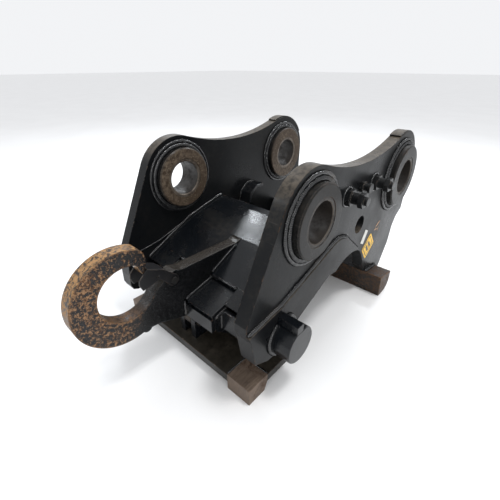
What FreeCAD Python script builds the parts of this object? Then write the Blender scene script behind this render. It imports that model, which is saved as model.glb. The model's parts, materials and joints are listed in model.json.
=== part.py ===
"""Wedge-lock quick coupler for an excavator, as a parametric FreeCAD document.

Millimetres. The origin is the centre of the stick-pin bore, midway between the side plates.
+X runs along the pins towards the right-hand plate, -Y points to the lifting hook, +Z is up.
"""
import FreeCAD, Part
import math
import os
import Sketcher

VEC = FreeCAD.Vector
X_AXIS = VEC(1, 0, 0)
SIDES = (("right", 1), ("left", -1))
PINS = ("stick", "link")
TOLERANCE = 1e-3

doc = FreeCAD.newDocument("quick_coupler")

# ---------------------------------------------------------------- driving dimensions
DIMENSIONS = {
    # pins and bosses
    "pin_spacing": 469.0,
    "link_pin_drop": 14.0,
    "stick_bore_radius": 45.0,
    "link_bore_radius": 47.5,
    "bush_wall": 8.0,
    "bush_recess": 1.0,
    "stick_boss_radius": 81.0,
    "link_boss_radius": 88.0,
    "boss_proud": 22.0,
    "boss_chamfer": 3.0,
    "bush_chamfer": 2.0,
    # side plates
    "plate_inner": 200.0,
    "plate_thickness": 32.0,
    "carrier_thickness": 40.0,
    "stick_lobe_radius": 110.0,
    "link_lobe_radius": 122.0,
    "saddle_radius": 645.0,
    "arch_radius": 132.0,
    "arch_centre_y": 203.0,
    "arch_centre_z": -300.0,
    "access_hole_radius": 25.0,
    "access_hole_y": 250.0,
    "access_hole_z": -100.0,
    # bars that meet the attachment
    "saddle_stub_radius": 44.0,
    "stub_length": 50.0,
    "stub_y": -94.0,
    "stub_z": -240.0,
    "stub_flat_height": 41.0,
    "stub_chamfer": 2.0,
    "key_bar_width": 21.0,
    "key_bar_height": 19.0,
    "hook_bar_half_length": 290.0,
    "ground_z": -386.0,
    "hook_bar_round": 32.0,
    # welded box
    "sheet_thickness": 12.0,
    "housing_inner": 90.0,
    "housing_wall": 18.0,
    "bulkhead_y": 141.0,
    "arch_cover_thickness": 14.0,
    "pad_thickness": 10.0,
    "pad_width": 45.0,
    # lifting hook
    "hook_thickness": 32.0,
    "hook_outer_radius": 106.0,
    "hook_eye_radius": 62.0,
    "latch_sheet": 3.0,
    "latch_gap": 0.8,
    "latch_pin_radius": 6.0,
    # wedge
    "wedge_top_z": -340.0,
    "wedge_thickness": 22.0,
    "wedge_half_width": 236.0,
    "wedge_front_y": -197.0,
    "wedge_bar_rear_y": -58.0,
    "tongue_half_width": 86.0,
    "tongue_rear_y": 66.0,
    "block_width": 68.0,
    "block_length": 63.0,
    "block_proud": 1.0,
    "guide_clearance": 2.0,
    # cylinder
    "cylinder_z": -292.0,
    "barrel_outer_radius": 42.0,
    "barrel_inner_radius": 35.0,
    "barrel_front_y": -50.0,
    "barrel_rear_y": 95.0,
    "cap_length": 15.0,
    "rod_radius": 20.0,
    "running_gap": 0.05,
    "rod_eye_y": -154.0,
    "anchor_eye_y": 117.0,
    "cylinder_pin_radius": 12.0,
    "eye_half_thickness": 12.5,
    "eye_radius": 18.0,
    "lug_gap": 1.0,
    "lug_thickness": 16.0,
    "piston_front_y": -28.0,
    "piston_length": 24.0,
    # hydraulic ports
    "port_z": 8.0,
    "front_port_y": 148.0,
    "rear_port_y": 295.0,
    "pipe_radius": 6.0,
    "pipe_bend": 18.0,
}

sheet = doc.addObject("Spreadsheet::Sheet", "Dims")
for row, (alias, value) in enumerate(DIMENSIONS.items(), start=1):
    sheet.set(f"A{row}", alias)
    sheet.set(f"B{row}", str(value))
    sheet.setAlias(f"B{row}", alias)
doc.recompute()


def dim(alias):
    """Value of one driving dimension, read from the sheet."""
    return float(getattr(sheet, alias))


NODES = []


def keep(node):
    """Register a finished sub-part."""
    NODES.append(node)
    return node


# ---------------------------------------------------------------- outlines in a plane
class Outline:
    """A closed outline of straight and circular stretches, in the plane's own two coordinates."""

    def __init__(self, start):
        self.start = start
        self.here = start
        self.parts = []

    def line(self, *points):
        for point in points:
            self.parts.append(("line", self.here, None, point))
            self.here = point
        return self

    def arc(self, middle, end):
        self.parts.append(("arc", self.here, middle, end))
        self.here = end
        return self

    def arc_about(self, centre, radius, first_deg, last_deg):
        """Arc about a centre; a line joins it to the outline when it starts elsewhere."""
        first = polar(centre, radius, first_deg)
        if math.dist(first, self.here) > 1e-6:
            self.line(first)
        return self.arc(polar(centre, radius, (first_deg + last_deg) / 2), polar(centre, radius, last_deg))

    def close(self):
        if math.dist(self.here, self.start) > 1e-6:
            self.line(self.start)
        return self

    def geometry(self):
        flat = [(kind, *(VEC(p[0], p[1], 0) if p else None for p in points)) for kind, *points in self.parts]
        return [Part.LineSegment(a, c) if kind == "line" else Part.Arc(a, b, c) for kind, a, b, c in flat]


def polar(centre, radius, degrees):
    angle = math.radians(degrees)
    return (centre[0] + radius * math.cos(angle), centre[1] + radius * math.sin(angle))


def bearing(centre, point):
    """Direction from a centre to a point, in degrees from 0 to 360."""
    return math.degrees(math.atan2(point[1] - centre[1], point[0] - centre[0])) % 360


def offset_points(points, distance):
    """The points of a polyline moved to its right-hand side by a distance, with mitred corners."""
    normals = []
    for (ay, az), (by, bz) in zip(points, points[1:]):
        length = math.hypot(by - ay, bz - az)
        normals.append(((bz - az) / length, (ay - by) / length))
    normals = [normals[0], *normals, normals[-1]]
    moved = []
    for point, before, after in zip(points, normals, normals[1:]):
        scale = distance / (1 + before[0] * after[0] + before[1] * after[1])
        moved.append((point[0] + (before[0] + after[0]) * scale, point[1] + (before[1] + after[1]) * scale))
    return moved


def bent_plate(points, thickness):
    """Outline of a folded plate: the points are its left-hand surface."""
    return Outline(points[0]).line(*points[1:], *reversed(offset_points(points, thickness))).close()


def box_outline(low, high):
    return Outline(low).line((high[0], low[1]), high, (low[0], high[1])).close()


# ---------------------------------------------------------------- PartDesign helpers
def new_body(name):
    body = doc.addObject("PartDesign::Body", name)
    body.Label = name
    return body


def new_sketch(body, role):
    plane = next(item for item in body.Origin.OriginFeatures if item.Role == role)
    sketch = body.newObject("Sketcher::SketchObject", f"{body.Name}_sketch")
    sketch.AttachmentSupport = [(plane, "")]
    sketch.MapMode = "FlatFace"
    return sketch


def add_outline(sketch, outline):
    """Draw an outline, joining each stretch's end to the next one's start.

    A clockwise arc is stored the other way round, so its two ends are told apart by position.
    """
    first = sketch.GeometryCount
    sketch.addGeometry(outline.geometry(), False)
    ends = []
    for index, (_, start, _, _) in enumerate(outline.parts, start=first):
        stored = sketch.getPoint(index, 1)
        forward = math.dist((stored.x, stored.y), start) < TOLERANCE
        ends.append((index, 1, 2) if forward else (index, 2, 1))
    for here, following in zip(ends, [*ends[1:], ends[0]]):
        sketch.addConstraint(Sketcher.Constraint("Coincident", here[0], here[2], following[0], following[1]))
    for index, start_end, _ in ends:
        joined = sketch.getPoint(index, start_end)
        if math.dist((joined.x, joined.y), outline.parts[index - first][1]) > TOLERANCE:
            raise RuntimeError("an outline moved when its stretches were joined")


def add_circle(sketch, centre, radius, formula=None):
    index = sketch.addGeometry(Part.Circle(VEC(centre[0], centre[1], 0), VEC(0, 0, 1), radius), False)
    constraint = sketch.addConstraint(Sketcher.Constraint("Radius", index, radius))
    if formula:
        sketch.setExpression(f"Constraints[{constraint}]", formula)


def bind_place(node, x=None, y=None, z=None):
    for letter, formula in (("x", x), ("y", y), ("z", z)):
        if formula:
            node.setExpression(f"Placement.Base.{letter}", formula)


def padded(name, role, outline, length, holes=(), midplane=False, reversed_pad=False):
    """Body padded from one outline; length is a sheet formula and holes are (centre, radius, formula)."""
    body = new_body(name)
    sketch = new_sketch(body, role)
    if outline:
        add_outline(sketch, outline)
    for centre, radius, formula in holes:
        add_circle(sketch, centre, radius, formula)
    pad = body.newObject("PartDesign::Pad", f"{name}_pad")
    pad.Profile = sketch
    pad.setExpression("Length", length)
    pad.Midplane = midplane
    pad.Reversed = reversed_pad
    body.Tip = pad
    doc.recompute()
    return body


def chamfer_edges(body, size_formula, chosen):
    """Chamfer the edges of the body's tip for which the test holds."""
    base = body.Tip
    names = [f"Edge{index}" for index, edge in enumerate(base.Shape.Edges, start=1) if chosen(edge)]
    chamfer = body.newObject("PartDesign::Chamfer", f"{body.Name}_chamfer")
    chamfer.Base = (base, names)
    chamfer.setExpression("Size", size_formula)
    body.Tip = chamfer
    doc.recompute()
    return body


def is_rim(edge, radius):
    return isinstance(edge.Curve, Part.Circle) and abs(edge.Curve.Radius - radius) < TOLERANCE


def lies_at(edge, x):
    return max(abs(edge.BoundBox.XMin - x), abs(edge.BoundBox.XMax - x)) < TOLERANCE


def across(name, outline, holes=(), length="2 * Dims.plate_inner"):
    """Plate that spans the coupler symmetrically, from an outline in Y and Z."""
    return keep(padded(name, "YZ_Plane", outline, length, holes, midplane=True))


def sided(stem, outline, start, thickness, holes=()):
    """A right-hand and a left-hand plate from one outline in Y and Z; start and thickness are formulas."""
    bodies = []
    for side, sign in SIDES:
        body = padded(f"{stem}_{side}", "YZ_Plane", outline, thickness, holes)
        bind_place(body, x=start if sign > 0 else f"-({start}) - ({thickness})")
        bodies.append(keep(body))
    return bodies


def solid_feature(name, shape):
    """Sub-part whose shape is built directly from the sheet's sizes."""
    feature = doc.addObject("Part::Feature", name)
    feature.Label = name
    feature.Shape = shape
    feature.Placement = FreeCAD.Placement()
    return keep(feature)


def rod_x(radius, low, high, y, z):
    """Cylinder along X between two stations."""
    return Part.makeCylinder(radius, high - low, VEC(low, y, z), X_AXIS)


def rod_y(radius, low, high, x, z):
    """Cylinder along Y between two stations."""
    return Part.makeCylinder(radius, high - low, VEC(x, low, z), VEC(0, 1, 0))


def block(low, high):
    return Part.makeBox(high[0] - low[0], high[1] - low[1], high[2] - low[2], VEC(*low))


def prism_x(points, low, high):
    """Prism along X between two stations, from corner points in Y and Z."""
    corners = [VEC(low, *point) for point in points]
    return Part.Face(Part.makePolygon([*corners, corners[0]])).extrude(VEC(high - low, 0, 0))


def hexagon_x(across_flats, low, high, y, z):
    """Hexagonal prism along X."""
    circle = across_flats / math.sqrt(3)
    return prism_x([polar((y, z), circle, 60 * k) for k in range(6)], low, high)


# ---------------------------------------------------------------- shared geometry
pin_centres = {"stick": (0.0, 0.0), "link": (dim("pin_spacing"), -dim("link_pin_drop"))}
arch_centre = (dim("arch_centre_y"), dim("arch_centre_z"))
arch_radius = dim("arch_radius")
stub_centre = (dim("stub_y"), dim("stub_z"))
ground = dim("ground_z")
plate_outer = dim("plate_inner") + dim("plate_thickness")

# hook bar section: sloping flat top, leaning flat front, rounded heel behind
bar_top_front = (362.0, -308.0)
bar_top_rear = (446.0, -322.0)
bar_heel_centre = (bar_top_rear[0] - dim("hook_bar_round"), ground + dim("hook_bar_round"))
bar_toe = (376.0, ground)
PLATE_LEAVES_HEEL = -40.0

# seam between the side plates and the thicker carrier plates below them
seam_front = (-200.0, -178.0)
seam_knee = (-96.0, -164.0)
seam_rise = (95.0, -102.0)
seam_crest = (132.0, -96.0)
seam_fall = (170.0, -108.0)
SEAM_END_BEARING = 62.0
seam_end = polar(arch_centre, arch_radius, SEAM_END_BEARING)
ARCH_TOE_BEARING = 122.5
ARCH_HEEL_BEARING = 11.0


def saddle_centre():
    """Centre of the hollow top edge, which touches both lobes from outside."""
    stick_reach = dim("stick_lobe_radius") + dim("saddle_radius")
    link_reach = dim("link_lobe_radius") + dim("saddle_radius")
    span = math.dist(pin_centres["stick"], pin_centres["link"])
    along = (span ** 2 + stick_reach ** 2 - link_reach ** 2) / (2 * span)
    height = math.sqrt(stick_reach ** 2 - along ** 2)
    slope = math.radians(bearing(pin_centres["stick"], pin_centres["link"]))
    y = along * math.cos(slope) - height * math.sin(slope)
    z = along * math.sin(slope) + height * math.cos(slope)
    return (y, z)


def side_plate_outline():
    stick, link = pin_centres["stick"], pin_centres["link"]
    saddle = saddle_centre()
    front_corner = (-200.0, -158.0)
    reach = math.dist(front_corner, stick)
    lobe_start = bearing(stick, front_corner) - math.degrees(math.acos(dim("stick_lobe_radius") / reach))
    outline = Outline(seam_front).line(front_corner)
    outline.arc_about(stick, dim("stick_lobe_radius"), lobe_start, bearing(stick, saddle))
    outline.arc_about(saddle, dim("saddle_radius"), bearing(saddle, stick), bearing(saddle, link))
    outline.arc_about(link, dim("link_lobe_radius"), bearing(link, saddle), 0.0)
    rear = link[0] + dim("link_lobe_radius")
    outline.line((rear, -156.0), (556.0, -176.0), (538.0, -206.0), (532.0, -264.0), (493.0, -342.0))
    outline.line((464.0, -372.0), polar(bar_heel_centre, dim("hook_bar_round"), PLATE_LEAVES_HEEL))
    outline.arc_about(bar_heel_centre, dim("hook_bar_round"), PLATE_LEAVES_HEEL, 0.0)
    outline.line(bar_top_rear, bar_top_front)
    outline.arc_about(arch_centre, arch_radius, ARCH_HEEL_BEARING, SEAM_END_BEARING)
    outline.line(seam_fall).arc(seam_crest, seam_rise).line(seam_knee)
    return outline.close()


def carrier_outline(front_edge):
    """Thick lower plate; the points of its front edge run upwards to the seam's front end."""
    outline = Outline(seam_front).line(seam_knee, seam_rise).arc(seam_crest, seam_fall)
    outline.line(seam_end)
    outline.arc_about(arch_centre, arch_radius, SEAM_END_BEARING, ARCH_TOE_BEARING)
    outline.line((118.0, -186.0), (95.0, -184.0), (60.0, -199.0), (-33.0, -240.0), (-52.0, -264.0))
    outline.line((-75.0, -286.0), (-140.0, -286.0), *front_edge)
    return outline.close()


# ---------------------------------------------------------------- side plates and bosses
boss_holes = [(pin_centres[pin], dim(f"{pin}_boss_radius"), f"Dims.{pin}_boss_radius") for pin in PINS]
access_hole = ((dim("access_hole_y"), dim("access_hole_z")), dim("access_hole_radius"),
               "Dims.access_hole_radius")
PORT_HOLE_RADIUS = 12.0
port_centres = {"front": (dim("front_port_y"), dim("port_z")), "rear": (dim("rear_port_y"), dim("port_z"))}
TEST_PORT_CENTRE = (215.0, 16.0)
TEST_PORT_RADIUS = 7.0

left_holes = [*boss_holes]
right_holes = [*boss_holes, access_hole]
right_holes += [(centre, PORT_HOLE_RADIUS, None) for centre in port_centres.values()]
right_holes.append((TEST_PORT_CENTRE, TEST_PORT_RADIUS, None))
for (side, sign), holes in zip(SIDES, (right_holes, left_holes)):
    plate = padded(f"side_plate_{side}", "YZ_Plane", side_plate_outline(), "Dims.plate_thickness", holes)
    bind_place(plate, x="Dims.plate_inner" if sign > 0 else "-Dims.plate_inner - Dims.plate_thickness")
    keep(plate)

# the left-hand plate keeps its full front corner, the right-hand one is cut back over the wedge block
CARRIER_FRONTS = {
    "right": ((-182.0, -264.0), (-195.0, -192.0)),
    "left": ((-190.0, -286.0), (-203.0, -280.0), (-208.0, -267.0), (-207.0, -234.0)),
}
for side, sign in SIDES:
    outline = carrier_outline(CARRIER_FRONTS[side])
    plate = padded(f"carrier_plate_{side}", "YZ_Plane", outline, "Dims.carrier_thickness")
    bind_place(plate, x="Dims.plate_inner" if sign > 0 else "-Dims.plate_inner - Dims.carrier_thickness")
    keep(plate)


def ring_pair(stem, pin, outer, inner, length, inset, chamfer, rims):
    """Two rings about one pin, one in each side plate; sizes are formulas and rims the chamfered radii."""
    for side, sign in SIDES:
        holes = [((0, 0), rims[1], outer), ((0, 0), rims[0], inner)]
        ring = padded(f"{pin}_pin_{stem}_{side}", "YZ_Plane", None, length, holes)
        chamfer_edges(ring, chamfer, lambda edge: is_rim(edge, rims[2]))
        start = f"Dims.plate_inner - Dims.boss_proud + {inset}"
        bind_place(ring, x=start if sign > 0 else f"-({start}) - ({length})")
        ring.Placement.Base.y = pin_centres[pin][0]
        ring.Placement.Base.z = pin_centres[pin][1]
        if pin == "link":
            bind_place(ring, y="Dims.pin_spacing", z="-Dims.link_pin_drop")
        keep(ring)


boss_length = "Dims.plate_thickness + 2 * Dims.boss_proud"
for pin in PINS:
    bore = dim(f"{pin}_bore_radius")
    seat = bore + dim("bush_wall")
    boss = dim(f"{pin}_boss_radius")
    seat_formula = f"Dims.{pin}_bore_radius + Dims.bush_wall"
    ring_pair("boss", pin, f"Dims.{pin}_boss_radius", seat_formula, boss_length, "0",
              "Dims.boss_chamfer", (seat, boss, boss))
    ring_pair("bush", pin, seat_formula, f"Dims.{pin}_bore_radius", f"{boss_length} - 2 * Dims.bush_recess",
              "Dims.bush_recess", "Dims.bush_chamfer", (bore, seat, bore))

# ---------------------------------------------------------------- stubs, key bars and hook bar
stub_flat = dim("stub_flat_height")
flat_bearing = math.degrees(math.asin(stub_flat / dim("saddle_stub_radius")))
stub_outline = Outline(polar((0, 0), dim("saddle_stub_radius"), 180 - flat_bearing))
stub_outline.arc_about((0, 0), dim("saddle_stub_radius"), 180 - flat_bearing, 270)
stub_outline.arc_about((0, 0), dim("saddle_stub_radius"), 270, 360 + flat_bearing)
stub_outline.close()
stub_start = "Dims.plate_inner + Dims.carrier_thickness"
for stub in sided("saddle_stub", stub_outline, stub_start, "Dims.stub_length"):
    end_x = dim("stub_length") if stub.Label.endswith("right") else 0.0
    chamfer_edges(stub, "Dims.stub_chamfer", lambda edge: lies_at(edge, end_x))
    bind_place(stub, y="Dims.stub_y", z="Dims.stub_z")

key_low = (-dim("key_bar_width") / 2 - 7.0, stub_flat)
key_high = (key_low[0] + dim("key_bar_width"), stub_flat + dim("key_bar_height"))
for key_bar in sided("stub_key_bar", box_outline(key_low, key_high), stub_start, "Dims.stub_length"):
    bind_place(key_bar, y="Dims.stub_y", z="Dims.stub_z")

hook_bar = Outline(bar_top_front).line(bar_top_rear)
hook_bar.arc_about(bar_heel_centre, dim("hook_bar_round"), 0.0, PLATE_LEAVES_HEEL)
hook_bar.arc_about(bar_heel_centre, dim("hook_bar_round"), PLATE_LEAVES_HEEL, -90.0)
hook_bar.line(bar_toe)
across("hook_bar", hook_bar.close(), length="2 * Dims.hook_bar_half_length")

# ---------------------------------------------------------------- welded box between the plates
sheet_thickness = dim("sheet_thickness")
hood_points = [(-95.0, -181.0), (17.0, -127.0), (128.0, -98.0), (153.0, -95.0)]
across("hood_plate", bent_plate(hood_points, sheet_thickness))

hood_under = offset_points(hood_points, sheet_thickness)
lap_slope = (hood_points[1][1] - hood_points[0][1]) / (hood_points[1][0] - hood_points[0][0])
LAP = 40.0
lap_start = (hood_under[0][0] + LAP, hood_under[0][1] + LAP * lap_slope)
nose_points = [(-180.0, -213.0), hood_under[0], lap_start]
housing_outer = "2 * (Dims.housing_inner + Dims.housing_wall)"
across("housing_top_plate", bent_plate(nose_points, sheet_thickness), length=housing_outer)

# wings that carry the hood's slope forward on both sides of the nose
WING_FRONT = -140.0
wing_points = [(WING_FRONT, hood_points[0][1] + lap_slope * (WING_FRONT - hood_points[0][0])), hood_points[0]]
wing = [*wing_points, *reversed(offset_points(wing_points, sheet_thickness))]
keeper_half = dim("housing_inner") + dim("housing_wall")
half = dim("plate_inner")
wing_spans = ((keeper_half, half), (-half, -keeper_half))
solid_feature("hood_wings", Part.makeCompound([prism_x(wing, *span) for span in wing_spans]))

nose_under = offset_points(nose_points, sheet_thickness)
bulkhead_front = dim("bulkhead_y")
wedge_top = dim("wedge_top_z")
wedge_low = wedge_top - dim("wedge_thickness")
keeper_top = wedge_low - dim("guide_clearance")
HOUSING_FRONT = -172.0
HOUSING_STEP_Y = 16.0
HOUSING_STEP_Z = -330.0
HOUSING_CUT_Y = -95.0
HOUSING_FRONT_LOW = -262.0


def height_on(points, y):
    """Height of a polyline at a station, on the stretch that spans it."""
    for (ay, az), (by, bz) in zip(points, points[1:]):
        if ay <= y <= by:
            return az + (bz - az) * (y - ay) / (by - ay)
    raise ValueError(y)


housing_side = Outline((HOUSING_FRONT, height_on(nose_under, HOUSING_FRONT)))
housing_side.line(nose_under[1], nose_under[2], (nose_under[2][0], height_on(hood_under, nose_under[2][0])))
housing_side.line(hood_under[1], (128.0, height_on(hood_under, 128.0)))
housing_side.line((bulkhead_front, height_on(hood_under, bulkhead_front)), (bulkhead_front, keeper_top))
housing_side.line((HOUSING_STEP_Y, keeper_top), (HOUSING_STEP_Y, HOUSING_STEP_Z))
housing_side.line((HOUSING_CUT_Y, HOUSING_STEP_Z), (HOUSING_FRONT, HOUSING_FRONT_LOW))
sided("housing_side_plate", housing_side.close(), "Dims.housing_inner", "Dims.housing_wall")

HOUSING_FACE = -182.0
HOUSING_FACE_TOP = -225.0
front_face = box_outline((HOUSING_FACE, HOUSING_FRONT_LOW), (HOUSING_FRONT, HOUSING_FACE_TOP))
across("housing_front_plate", front_face, length=housing_outer)

# folded web beside the housing: low front wall, floor, and a rear wall up to the hood
FRONT_WEB_Y = -150.0
FRONT_WEB_REAR = -70.0
FRONT_WEB_BOTTOM = -268.0
FRONT_WEB_TOP = -214.0
web_points = [(FRONT_WEB_REAR, height_on(hood_under, FRONT_WEB_REAR - sheet_thickness)),
              (FRONT_WEB_REAR, FRONT_WEB_BOTTOM), (FRONT_WEB_Y, FRONT_WEB_BOTTOM), (FRONT_WEB_Y, FRONT_WEB_TOP)]
front_web = bent_plate(web_points, sheet_thickness)
web_start = "Dims.housing_inner + Dims.housing_wall"
sided("front_web", front_web, web_start, "Dims.plate_inner - Dims.housing_inner - Dims.housing_wall")

GUIDE_WIDTH = 30.0
GUIDE_HEIGHT = 16.0
guide_low = wedge_top + dim("guide_clearance")
guide = box_outline((HOUSING_STEP_Y, guide_low), (bulkhead_front, guide_low + GUIDE_HEIGHT))
sided("guide_bar", guide, f"Dims.housing_inner - {GUIDE_WIDTH}", f"{GUIDE_WIDTH}")

# bolted keeper plate under the wedge's tongue
KEEPER_THICKNESS = 16.0
keeper_low = keeper_top - KEEPER_THICKNESS
BOLT_RADIUS = 5.0
BOLT_HEAD_RADIUS = 9.0
BOLT_HEAD_DEPTH = 5.0
BOLT_GRIP = 34.0
bolt_places = [(sx * (dim("housing_inner") + dim("housing_wall") / 2), y) for sx in (1, -1) for y in (34.0, 113.0)]


def keeper_bolt(x, y):
    head = Part.makeCone(BOLT_HEAD_RADIUS, BOLT_RADIUS, BOLT_HEAD_DEPTH, VEC(x, y, keeper_low), VEC(0, 0, 1))
    return head.fuse(Part.makeCylinder(BOLT_RADIUS, BOLT_GRIP, VEC(x, y, keeper_low))).removeSplitter()


bolts = Part.makeCompound([keeper_bolt(x, y) for x, y in bolt_places])
keeper = block((-keeper_half, HOUSING_STEP_Y, keeper_low), (keeper_half, bulkhead_front, keeper_top))
solid_feature("keeper_plate", keeper.cut(bolts))
solid_feature("keeper_bolts", bolts)
for plate in [node for node in NODES if node.Label.startswith("housing_side_plate")]:
    sketch_x = plate.Placement.Base.x
    pocket_sketch = new_sketch(plate, "XY_Plane")
    for x, y in bolt_places:
        if abs(x - sketch_x) < 2 * dim("housing_wall") and x * sketch_x > 0:
            add_circle(pocket_sketch, (x - sketch_x, y), BOLT_RADIUS)
    pocket_sketch.AttachmentOffset = FreeCAD.Placement(VEC(0, 0, keeper_top), FreeCAD.Rotation())
    before = plate.Tip.Shape.Volume
    pocket = plate.newObject("PartDesign::Pocket", f"{plate.Name}_bolt_holes")
    pocket.Profile = pocket_sketch
    pocket.Length = BOLT_GRIP - KEEPER_THICKNESS
    pocket.Reversed = True
    plate.Tip = pocket
    doc.recompute()
    if pocket.Shape.Volume > before - 1.0:
        raise RuntimeError("the bolt holes of the housing cut nothing")

# bulkhead: wide above the arch, narrow where it closes the housing
BULKHEAD_SHOULDER = -178.0
BULKHEAD_TOP = -108.5
PIPE_HOLE_RADIUS = 9.0
PIPE_Z = -128.0
pipe_crossings = {"lock": (70.0, PIPE_Z), "release": (30.0, PIPE_Z)}
bulkhead = Outline((-keeper_half, keeper_low)).line((keeper_half, keeper_low), (keeper_half, BULKHEAD_SHOULDER))
bulkhead.line((half, BULKHEAD_SHOULDER), (half, BULKHEAD_TOP), (-half, BULKHEAD_TOP), (-half, BULKHEAD_SHOULDER))
bulkhead.line((-keeper_half, BULKHEAD_SHOULDER)).close()
crossing_holes = [(centre, PIPE_HOLE_RADIUS, None) for centre in pipe_crossings.values()]
bulkhead_body = padded("bulkhead_plate", "XZ_Plane", bulkhead, "Dims.sheet_thickness", crossing_holes)
bind_place(bulkhead_body, y="Dims.bulkhead_y + Dims.sheet_thickness")
keep(bulkhead_body)


def bar_top(y):
    """Height of the hook bar's sloping top at a station."""
    return height_on([bar_top_front, bar_top_rear], y)


COVER_END = 378.0
REAR_WEB_FRONT = 426.0
REAR_WEB_REAR = 440.0
REAR_WEB_TOP = -190.0
cover_points = [(153.0, -145.0), (238.0, -143.0), (312.0, -201.0), (COVER_END, bar_top(COVER_END))]
cover_under = offset_points(cover_points, dim("arch_cover_thickness"))
cover = Outline(cover_points[0]).line(*cover_points[1:], bar_top_front, *reversed(cover_under[:-1])).close()
across("arch_cover_plate", cover)

rear_web = Outline((REAR_WEB_FRONT, bar_top(REAR_WEB_FRONT))).line((REAR_WEB_REAR, bar_top(REAR_WEB_REAR)))
rear_web.line((REAR_WEB_REAR, REAR_WEB_TOP), (REAR_WEB_FRONT, REAR_WEB_TOP))
across("rear_cross_plate", rear_web.close())

pad_points = [(234.0, -138.0), (244.0, -106.0), (274.0, -84.0), (308.0, -84.0)]
pad_outline = bent_plate(pad_points, dim("pad_thickness"))
sided("stop_pad", pad_outline, "Dims.plate_inner - Dims.pad_width", "Dims.pad_width")

# ---------------------------------------------------------------- lifting hook
hook_centre = (-318.0, -131.0)
eye_centre = (-310.0, -123.0)
TIP_BEARING = 64.0
THROAT_BEARING = -28.0
latch_pivot = (-206.0, -140.0)
hood_at_hook = (0.0, height_on(hood_points, 0.0))
nose_slope = (nose_points[1][1] - nose_points[0][1]) / (nose_points[1][0] - nose_points[0][0])
hook_foot = (HOUSING_FACE, nose_points[0][1] + nose_slope * (HOUSING_FACE - nose_points[0][0]))
hook = Outline((-4.0, hood_at_hook[1] + 4.0)).line((-180.0, -127.0), (-198.0, -120.0), (-208.0, -122.0))
hook.line(polar(eye_centre, dim("hook_eye_radius"), THROAT_BEARING))
hook.arc_about(eye_centre, dim("hook_eye_radius"), THROAT_BEARING, TIP_BEARING - 360)
hook.line((-271.0, -95.0), (-260.0, -67.0))
hook.arc((-262.0, -50.0), polar(hook_centre, dim("hook_outer_radius"), 64.0))
hook.arc_about(hook_centre, dim("hook_outer_radius"), 64.0, 282.0)
hook.arc((-285.0, -240.0), (-276.0, -234.0)).line((-258.0, -236.0), (HOUSING_FACE, HOUSING_FRONT_LOW), hook_foot)
hook.line(nose_points[1], hood_points[0], hood_points[1])
hook.close()
latch_hole = (latch_pivot, dim("latch_pin_radius"), "Dims.latch_pin_radius")
hook_body = padded("load_hook", "YZ_Plane", hook, "Dims.hook_thickness", [latch_hole], midplane=True)
keep(hook_body)

# spring-loaded safety latch: two cheeks on the hook's faces joined by a web across its mouth
LATCH_ROOT_RADIUS = 14.0
LATCH_HOLE = (-242.0, -113.0)
LATCH_HOLE_RADIUS = 3.0
latch_web = [(-260.5, -86.5), (-226.0, -103.0), (-219.0, -110.0)]
latch_cheek = [(-198.0, -129.0), *reversed(latch_web), (-273.0, -92.0), (-284.0, -103.0), (-286.0, -114.0),
               (-280.0, -129.0), (-265.0, -127.0), (-238.0, -121.0), (-217.0, -148.0)]
cheek_in = dim("hook_thickness") / 2 + dim("latch_gap")
cheek_out = cheek_in + dim("latch_sheet")


def latch_shape():
    web = [*latch_web, *reversed(offset_points(latch_web, dim("latch_sheet")))]
    shape = prism_x(web, -cheek_in, cheek_in)
    for low, high in ((cheek_in, cheek_out), (-cheek_out, -cheek_in)):
        cheek = prism_x(latch_cheek, low, high).fuse(rod_x(LATCH_ROOT_RADIUS, low, high, *latch_pivot))
        holes = [rod_x(dim("latch_pin_radius") + dim("running_gap"), low, high, *latch_pivot),
                 rod_x(LATCH_HOLE_RADIUS, low, high, *LATCH_HOLE)]
        shape = shape.fuse(cheek.cut(holes))
    return shape.removeSplitter()


solid_feature("safety_latch", latch_shape())

SPRING_WIRE = 1.5
SPRING_RADIUS = 8.5
SPRING_TURNS = 4
SPRING_PITCH = 2 * SPRING_WIRE + 0.3
spring_far = cheek_out + SPRING_WIRE + 0.3 + SPRING_PITCH * SPRING_TURNS

PIN_HEAD_RADIUS = 8.0
PIN_HEAD_THICKNESS = 3.0
pin_low, pin_high = -spring_far - SPRING_WIRE - 1.0, cheek_out + 1.0
pin_shape = rod_x(dim("latch_pin_radius"), pin_low, pin_high, *latch_pivot)
pin_shape = pin_shape.fuse([
    rod_x(PIN_HEAD_RADIUS, pin_low - PIN_HEAD_THICKNESS, pin_low, *latch_pivot),
    rod_x(PIN_HEAD_RADIUS, pin_high, pin_high + PIN_HEAD_THICKNESS, *latch_pivot),
])
solid_feature("latch_pin", pin_shape.removeSplitter())


def latch_spring():
    """Torsion spring on the pin beside the left-hand cheek."""
    helix = Part.makeHelix(SPRING_PITCH, SPRING_PITCH * SPRING_TURNS, SPRING_RADIUS)
    helix.rotate(VEC(0, 0, 0), VEC(0, 1, 0), 90)
    helix.translate(VEC(-spring_far, *latch_pivot))
    edge = helix.Edges[0]
    start = edge.valueAt(edge.FirstParameter)
    tangent = edge.tangentAt(edge.FirstParameter)
    section = Part.Wire(Part.Circle(start, tangent, SPRING_WIRE).toShape())
    return Part.Wire(helix.Edges).makePipeShell([section], True, True)


solid_feature("latch_spring", latch_spring())

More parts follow.
